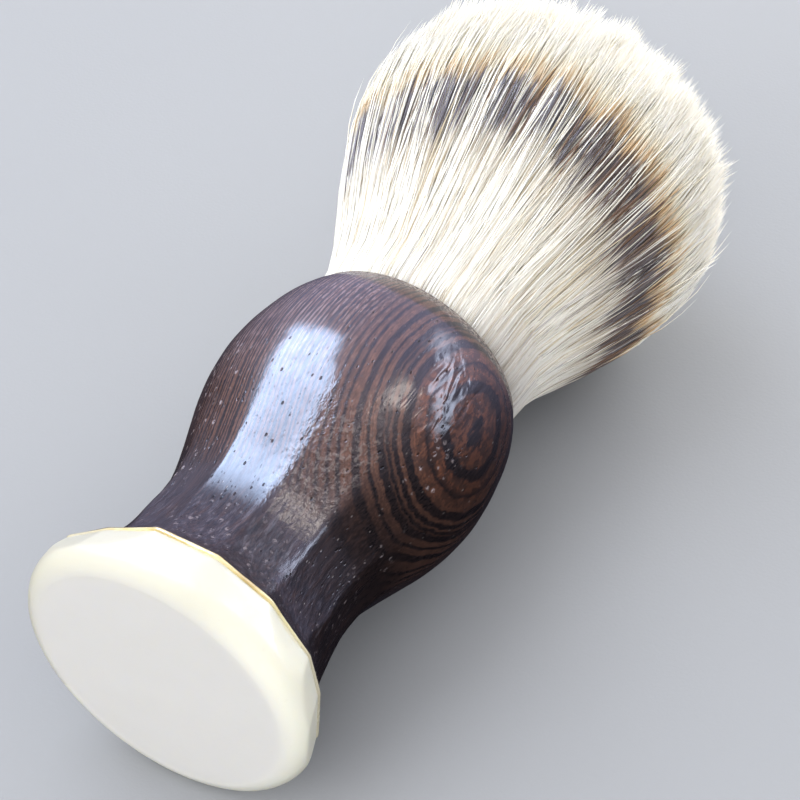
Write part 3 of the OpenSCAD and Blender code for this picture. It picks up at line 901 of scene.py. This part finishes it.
def build_hair(mat):
    rng = np.random.default_rng(41)
    made = []
    # --- outer layers, root to tip
    n = 16500
    locks = 230
    lock_at = (np.arange(locks) + rng.uniform(-0.45, 0.45, locks)) / locks * TAU
    lock_tilt = np.clip(rng.normal(0, 2.5, locks), -4.4, 4.4)
    lock_bend = rng.normal(0, 0.34, locks)
    lock_phase = rng.uniform(0, TAU, locks)
    # Share of tan hairs by angle, highest from azimuth 40 to 90: partly the knot's own tan locks, partly painted shade.
    lock_tan_and_shade = np.interp(np.degrees(np.angle(np.exp(1j * lock_at))), [-180, -110, -60, -20, 40, 90, 180], [0.30, 0.10, 0.18, 0.22, 0.60, 0.75, 0.30]) + rng.normal(0, 0.18, locks)
    lock_len = np.clip(rng.normal(0, 0.36, locks), -0.7, 0.6)
    lock_band = rng.normal(0, 0.9, locks)
    lock_dark = np.clip(dark_share(lock_at) + rng.normal(0, 0.11, locks), 0.04, 0.97)
    lock_out = np.clip(rng.normal(0, 0.010, locks), -0.018, 0.015)
    lock_pull = rng.uniform(0.15, 0.55, locks)
    rho = 1.0 - 0.115 * rng.uniform(0, 1, n) ** 1.25
    th = rng.uniform(0, TAU, n)
    d = np.angle(np.exp(1j * (th[:, None] - lock_at[None, :])))
    li = np.abs(d + rng.normal(0, 0.012, n)[:, None]).argmin(1)
    dl = d[np.arange(n), li]
    cross = (rng.uniform(0, 1, n) < 0.03) & (rho > 0.95)
    free = rng.uniform(0, 1, n) < 0.14
    tilt = np.where(free, 0.4, 1.0) * lock_tilt[li] + np.where(cross, rng.normal(0, 6.0, n), np.where(free, rng.normal(0, 2.8, n), rng.normal(0, 1.6, n)))
    zt = tip_height(rho)
    zt = zt + lock_len[li] + rng.normal(0, 0.75, n) + np.where(rng.uniform(0, 1, n) < 0.02, rng.uniform(0.3, 2.0, n), 0)
    zt = np.maximum(zt, 82.0)
    m = 10
    t = np.linspace(0, 1, m)[None, :]
    t = t ** 0.92
    z = Z_ROOT + (zt - Z_ROOT)[:, None] * t
    up = smoothstep(z, 56, 92)
    rr = rho[:, None] + (lock_out[li][:, None] + rng.normal(0, 0.008, n)[:, None]) * smoothstep(z, 54, 84)
    bow = rng.normal(0, 0.009, n)[:, None] * np.sin(math.pi * np.clip((z - 52) / 36, 0, 1))
    r = (rr + bow) * flare(z)
    stray = rng.uniform(0, 1, n) < 0.008
    r = r + np.where(stray, rng.uniform(0.4, 2.2, n), 0)[:, None] * smoothstep(z, 66, 90)
    side = np.tan(np.radians(tilt))[:, None] * (z - 52.0).clip(0) - np.tan(np.radians(tilt))[:, None] * 9.0 * smoothstep(z, 52, 60)
    wob = rng.normal(0, 0.24, n)[:, None] * np.sin(z / rng.uniform(5, 9, n)[:, None] + rng.uniform(0, TAU, n)[:, None]) * smoothstep(z, 53, 62)
    bend = lock_bend[li][:, None] * np.sin(z / 8.0 + lock_phase[li][:, None]) * smoothstep(z, 53, 62)
    a = th[:, None] - (dl * lock_pull[li] * np.where(free, 0.2, 1.0))[:, None] * up + (side + wob + bend) / np.maximum(r, 8)
    pos = np.stack([r * np.cos(a), r * np.sin(a), z], -1)
    thick = np.where(rng.uniform(0, 1, n) < 0.3, rng.uniform(0.050, 0.070, n), rng.uniform(0.070, 0.110, n))[:, None]
    prof = np.interp(t.ravel(), [0, 0.1, 0.45, 0.8, 0.93, 1.0], [0.75, 0.90, 1.0, 0.95, 0.72, 0.35])[None, :]
    rad = thick * prof
    a_band = a[:, 6]
    is_dark = rng.uniform(0, 1, n) < lock_dark[li]
    is_dark &= ~cross
    is_warm = rng.uniform(0, 1, n) < np.clip(warm_share(a_band) + rng.normal(0, 0.2, locks)[li], 0, 1)
    # Each hair's kind: dark, warm or soft banded, cream, tan or grey; the grey ones are painted shade.
    kind = np.where(is_dark, np.where(is_warm, rng.integers(48, 64, n), np.where(rng.uniform(0, 1, n) < soft_share(a_band), np.where(a_band % TAU > math.radians(252), rng.integers(40, 48, n), rng.integers(44, 48, n)), rng.integers(32, 41, n))), np.where(rng.uniform(0, 1, n) < lock_tan_and_shade[li], np.where(rng.uniform(0, 1, n) < shade_grey_share(a_band), rng.integers(20, 26, n), rng.integers(13, 20, n)), rng.integers(0, 13, n)))
    band = band_height(a_band) + lock_band[li] + rng.normal(0, 0.55, n)
    pos = lean(pos)
    order = np.argsort(a[:, -1] % TAU)
    parts = 5
    for q in range(parts):
        ix = order[q * n // parts:(q + 1) * n // parts]
        made.append(hair_piece("hair_outer_" + "abcde"[q], pos[ix], rad[ix], kind[ix].astype(float), band[ix], mat))

    # --- crown: the ends of the inner hairs
    n = 17000
    locks = 380
    la, lr = rng.uniform(0, TAU, locks), np.sqrt(rng.uniform(0, 1, locks)) * 0.97
    lxy = np.stack([lr * np.cos(la), lr * np.sin(la)], -1)
    lock_len = rng.normal(0, 0.32, locks)
    lock_dir = rng.normal(0, 0.030, (locks, 2))
    lock_pull = rng.uniform(0.10, 0.55, locks)
    ra = np.sqrt(rng.uniform(0, 1, n)) * 0.965
    ta = rng.uniform(0, TAU, n)
    xy = np.stack([ra * np.cos(ta), ra * np.sin(ta)], -1)
    li = ((xy[:, None, :] - lxy[None]) ** 2).sum(2).argmin(1)
    zt = tip_height(ra) + lock_len[li] + rng.normal(0, 0.5, n) - 0.2
    m = 6
    t = np.linspace(0, 1, m)[None, :]
    z = (zt - 11.0)[:, None] + 11.0 * t
    pull = (lxy[li] - xy) * lock_pull[li][:, None]
    drift = lock_dir[li] + rng.normal(0, 0.024, (n, 2))
    unit = xy[:, None, :] + (pull[:, None, :] + drift[:, None, :]) * (t ** 1.5)[..., None]
    p2 = unit * flare(z)[..., None]
    pos = np.concatenate([p2, z[..., None]], -1)
    thick = rng.uniform(0.085, 0.130, n)[:, None]
    prof = np.interp(t.ravel(), [0, 0.5, 0.8, 1.0], [1.0, 1.0, 0.82, 0.35])[None, :]
    rad = thick * prof
    kind = np.where(rng.uniform(0, 1, n) < 0.5, rng.integers(32, 64, n), rng.integers(0, 20, n)).astype(float)
    band = np.minimum(zt - 6.5, band_height(ta) + 6.0) + rng.normal(0, 0.7, n)
    pos = lean(pos)
    order = np.argsort(ta)
    parts = 3
    for q in range(parts):
        ix = order[q * n // parts:(q + 1) * n // parts]
        made.append(hair_piece("hair_crown_" + "abc"[q], pos[ix], rad[ix], kind[ix], band[ix], mat))
    return made


def build_core(mat):
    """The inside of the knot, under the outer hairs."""
    n = 256
    phi = np.arange(n) / n * TAU
    rows = []
    z_low = 46.02
    zs = np.linspace(z_low, 80.0, 60)
    for r in (2.0, 8.0):
        rows.append((np.full(n, r), z_low))
    for z in zs:
        f = 0.972 - 0.032 * smoothstep(z, 58, 78)
        base = f * float(flare(z))
        if z < 50.5:
            base = min(base, 11.9)
        w = waves(phi, np.full(n, z), 3, 16, 34, 60.0, 0.16) * smoothstep(z, 56, 70)
        rows.append((base + w, z))
    # The crown of the core stays under the tips.
    for a in np.linspace(0, 84, 26)[1:]:
        rr = 0.932 * float(flare(80.0)) * math.cos(math.radians(a))
        z = 80.0 + 20.3 * math.sin(math.radians(a)) ** 0.82
        w = waves(phi, np.full(n, z), 3, 16, 34, 60.0, 0.16) * math.cos(math.radians(a))
        rows.append((rr + w, z))
    pts = np.array([np.stack([r * np.cos(phi), r * np.sin(phi), np.full(n, z)], -1) for r, z in rows])
    return lathe_grid("hair_core", lean(pts), mat)


# ----------------------------------------------------------------- build the object
wood = wood_material()
resin = resin_material()
glue = glue_material()
hair = hair_material()
core = core_material()

handle = build_handle(wood)
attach(handle, "root")
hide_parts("handle")

foot = build_foot(resin)
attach(foot, "root")
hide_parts("foot_disc")

bead = build_glue(glue)
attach(bead, "root")
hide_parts("foot_glue_line")

for piece in [build_core(core), *build_hair(hair)]:
    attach(piece, "root")
    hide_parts("hair_knot")

inner = {
    "locating_dowel": plain_grain("dowel_wood", rgb(0.50, 0.33, 0.17), rgb(0.33, 0.20, 0.10), (3.5, 3.5, 0.3), 0.45, 0.04),
    "socket_epoxy": plain_grain("epoxy", rgb(0.48, 0.36, 0.17), rgb(0.33, 0.22, 0.09), (0.5, 0.5, 0.5), 0.12, 0.05),
    "knot_plug": plain_grain("plug_resin", rgb(0.10, 0.085, 0.07), rgb(0.055, 0.045, 0.04), (0.9, 0.9, 0.9), 0.30, 0.06),
    "knot_binding": plain_grain("binding_cord", rgb(0.66, 0.61, 0.50), rgb(0.44, 0.39, 0.30), (4.0, 4.0, 6.0), 0.6, 0.08),
}
for node, mat in inner.items():
    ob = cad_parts[node]
    ob.data.materials.clear()
    ob.data.materials.append(mat)


# ----------------------------------------------------------------- stage
def plane(name, point_mm, normal, size, mat):
    normal = Vector(normal).normalized()
    x = normal.orthogonal().normalized()
    y = normal.cross(x)
    c = Vector(point_mm) * MM
    me = bpy.data.meshes.new(name)
    s = size
    me.from_pydata([c - x * s - y * s, c + x * s - y * s, c + x * s + y * s, c - x * s + y * s], [], [(0, 1, 2, 3)])
    me.materials.append(mat)
    ob = bpy.data.objects.new(name, me)
    scene.collection.objects.link(ob)
    return ob


TABLE_N = (0.4987, -0.8638, 0.0711)
pale = stage_material("pale_stage", rgb(0.34, 0.35, 0.37))
table = plane("table", (-8.53, 14.77, 2.6), TABLE_N, 1.6, pale)
table.visible_glossy = False
floor = plane("floor", (0, 0, -0.3), (0, 0, 1), 1.6, pale)
for o in (floor,):
    o.visible_glossy = False
    o.visible_diffuse = False
    o.visible_shadow = False
    o.visible_transmission = False


def area(name, direction, distance, width, height, radiance, colour, diffuse, glossy):
    """A flat lamp seen from the object in that direction. radiance is how bright it looks."""
    d = Vector(direction).normalized()
    x = Vector((0, 0, 1)).cross(d).normalized()
    y = d.cross(x)
    data = bpy.data.lights.new(name, "AREA")
    data.shape = "RECTANGLE"
    data.size, data.size_y = width, height
    data.energy = radiance * math.pi * width * height
    data.color = colour
    ob = bpy.data.objects.new(name, data)
    c = Vector((0, 0, 0.045)) + d * distance
    ob.matrix_world = Matrix(((x.x, y.x, d.x, c.x), (x.y, y.y, d.y, c.y), (x.z, y.z, d.z, c.z), (0, 0, 0, 1)))
    scene.collection.objects.link(ob)
    ob.visible_diffuse = diffuse
    ob.visible_glossy = glossy
    ob.visible_camera = False
    return ob


def glow_strip(name, rows, distance, radiance, colour, soft_u, soft_v, disc=False):
    """A glowing pane with soft edges, seen only in reflections. Each row is two directions (azimuth, elevation) from the object."""
    c = Vector((0, 0, 0.035))

    def place(a, e):
        a, e = math.radians(a), math.radians(e)
        return c + Vector((math.cos(a) * math.cos(e), math.sin(a) * math.cos(e), math.sin(e))) * distance
    pts, faces, uvs = [], [], []
    k = 4
    fine = []
    for (l0, r0), (l1, r1) in zip(rows[:-1], rows[1:]):
        for i in range(k):
            f = i / k
            fine.append(([l0[j] + (l1[j] - l0[j]) * f for j in (0, 1)], [r0[j] + (r1[j] - r0[j]) * f for j in (0, 1)]))
    fine.append(rows[-1])
    w = 7
    for l, r in fine:
        for i in range(w):
            f = i / (w - 1)
            pts.append(place(l[0] + (r[0] - l[0]) * f, l[1] + (r[1] - l[1]) * f))
    for j in range(len(fine) - 1):
        for i in range(w - 1):
            faces.append((j * w + i, j * w + i + 1, (j + 1) * w + i + 1, (j + 1) * w + i))
            for jj, ii in ((j, i), (j, i + 1), (j + 1, i + 1), (j + 1, i)):
                uvs += [ii / (w - 1), jj / (len(fine) - 1)]
    me = bpy.data.meshes.new(name)
    me.from_pydata(pts, [], faces)
    me.uv_layers.new(name="pane").data.foreach_set("uv", uvs)
    m = bpy.data.materials.new(name)
    m.use_nodes = True
    m.node_tree.nodes.clear()
    g = Nodes(m.node_tree)
    out = g.add("ShaderNodeOutputMaterial")
    u, v, _ = g.split(g.add("ShaderNodeUVMap", uv_map="pane").outputs[0])
    if disc:
        du, dv = g.sub(g.mul(u, 2.0), 1.0), g.sub(g.mul(v, 2.0), 1.0)
        shape = g.step(g.math("SQRT", g.add_(g.mul(du, du), g.mul(dv, dv))), 1.0, soft_u)
    else:
        shape = g.mul(g.mul(g.step(u, 0.0, soft_u), g.step(u, 1.0, 1.0 - soft_u)), g.mul(g.step(v, 0.0, soft_v), g.step(v, 1.0, 1.0 - soft_v)))
    e = g.add("ShaderNodeEmission", {"Color": colour, "Strength": g.mul(shape, radiance)})
    # Clear where it doesn't glow, so a pane never hides what is behind it.
    add = g.add("ShaderNodeAddShader")
    g.put(add.inputs[0], e.outputs[0])
    g.put(add.inputs[1], g.add("ShaderNodeBsdfTransparent").outputs[0])
    g.put(out.inputs[0], add.outputs[0])
    me.materials.append(m)
    ob = bpy.data.objects.new(name, me)
    scene.collection.objects.link(ob)
    ob.visible_camera = ob.visible_diffuse = ob.visible_transmission = ob.visible_shadow = False
    return ob


glow_strip("window_pane", [((-122, 35), (-82, 35)), ((-119, 21), (-73, 21)), ((-116, 8), (-65, 8)), ((-114, -22), (-57, -22))], 0.5, 19.5, rgb(0.55, 0.72, 1.03), 0.08, 0.30)
glow_strip("second_pane", [((-38, 68), (-10, 70)), ((-30, 57), (8, 61)), ((-17, 50), (16, 52)), ((-8, 36), (22, 38)), ((4, 24), (25, 26)), ((10, 15), (22, 15))], 0.5, 9.0, rgb(0.70, 0.79, 1.0), 0.25, 0.32)
glow_strip("lamp_pane", [((-32, 31), (-11, 31)), ((-32, 6), (-11, 6))], 0.5, 10.5, rgb(1.0, 0.90, 0.80), 0.10, 0.10, True)
glow_strip("lamp_haze", [((-50, 36), (4, 36)), ((-50, -16), (4, -16))], 0.5, 0.85, rgb(1.0, 0.86, 0.82), 0.25, 0.25, True)
area("window_soft", (-0.10, -0.97, 0.22), 0.6, 0.70, 0.50, 1.65, (0.97, 0.98, 1.0), True, False)
area("front_fill", (0.36, -0.55, -0.75), 0.7, 0.8, 0.8, 2.2, (1.0, 1.0, 1.0), True, False)
area("crown_light", (0.06, -0.03, 1.0), 0.45, 0.40, 0.40, 5.2, (1.0, 0.985, 0.95), True, False)

world = bpy.data.worlds.new("studio")
scene.world = world
world.use_nodes = True
wt = world.node_tree
wt.nodes.clear()
wg = Nodes(wt)
w_out = wg.add("ShaderNodeOutputWorld")
tc = wg.add("ShaderNodeTexCoord")
toward = wg.dot(tc.outputs["Generated"], (0.324, -0.694, 0.643))
GLOSS = [(-1.0, 0.0), (-0.2, 0.02), (0.0, 0.07), (0.1, 0.16), (0.2, 0.30), (0.3, 0.42), (0.45, 0.74), (0.6, 1.12), (0.75, 1.55), (1.0, 1.95)]
gloss_col = wg.ramp(wg.add_(wg.mul(toward, 0.5), 0.5), [(0.5 + 0.5 * d, rgb(v, v, v)) for d, v in GLOSS])
aloft = wg.split(tc.outputs["Generated"])[2]
gloss_col = wg.mix(1.0, gloss_col, wg.mix(wg.step(aloft, 0.05, 0.75), rgb(1.02, 0.88, 1.10), rgb(0.84, 0.82, 1.24)), "MULTIPLY")
side = wg.dot(tc.outputs["Generated"], (-0.41, -0.80, 0.43))
soft_bg = wg.add("ShaderNodeBackground", {"Color": rgb(0.86, 0.86, 0.87), "Strength": wg.step(side, -0.9, 0.9, 0.90, 1.01)})
gloss_bg = wg.add("ShaderNodeBackground", {"Color": gloss_col, "Strength": 1.0})
path = wg.add("ShaderNodeLightPath")
w_mix = wg.add("ShaderNodeMixShader")
wg.put(w_mix.inputs[0], path.outputs["Is Glossy Ray"])
wg.put(w_mix.inputs[1], soft_bg.outputs[0])
wg.put(w_mix.inputs[2], gloss_bg.outputs[0])
wg.put(w_out.inputs[0], w_mix.outputs[0])
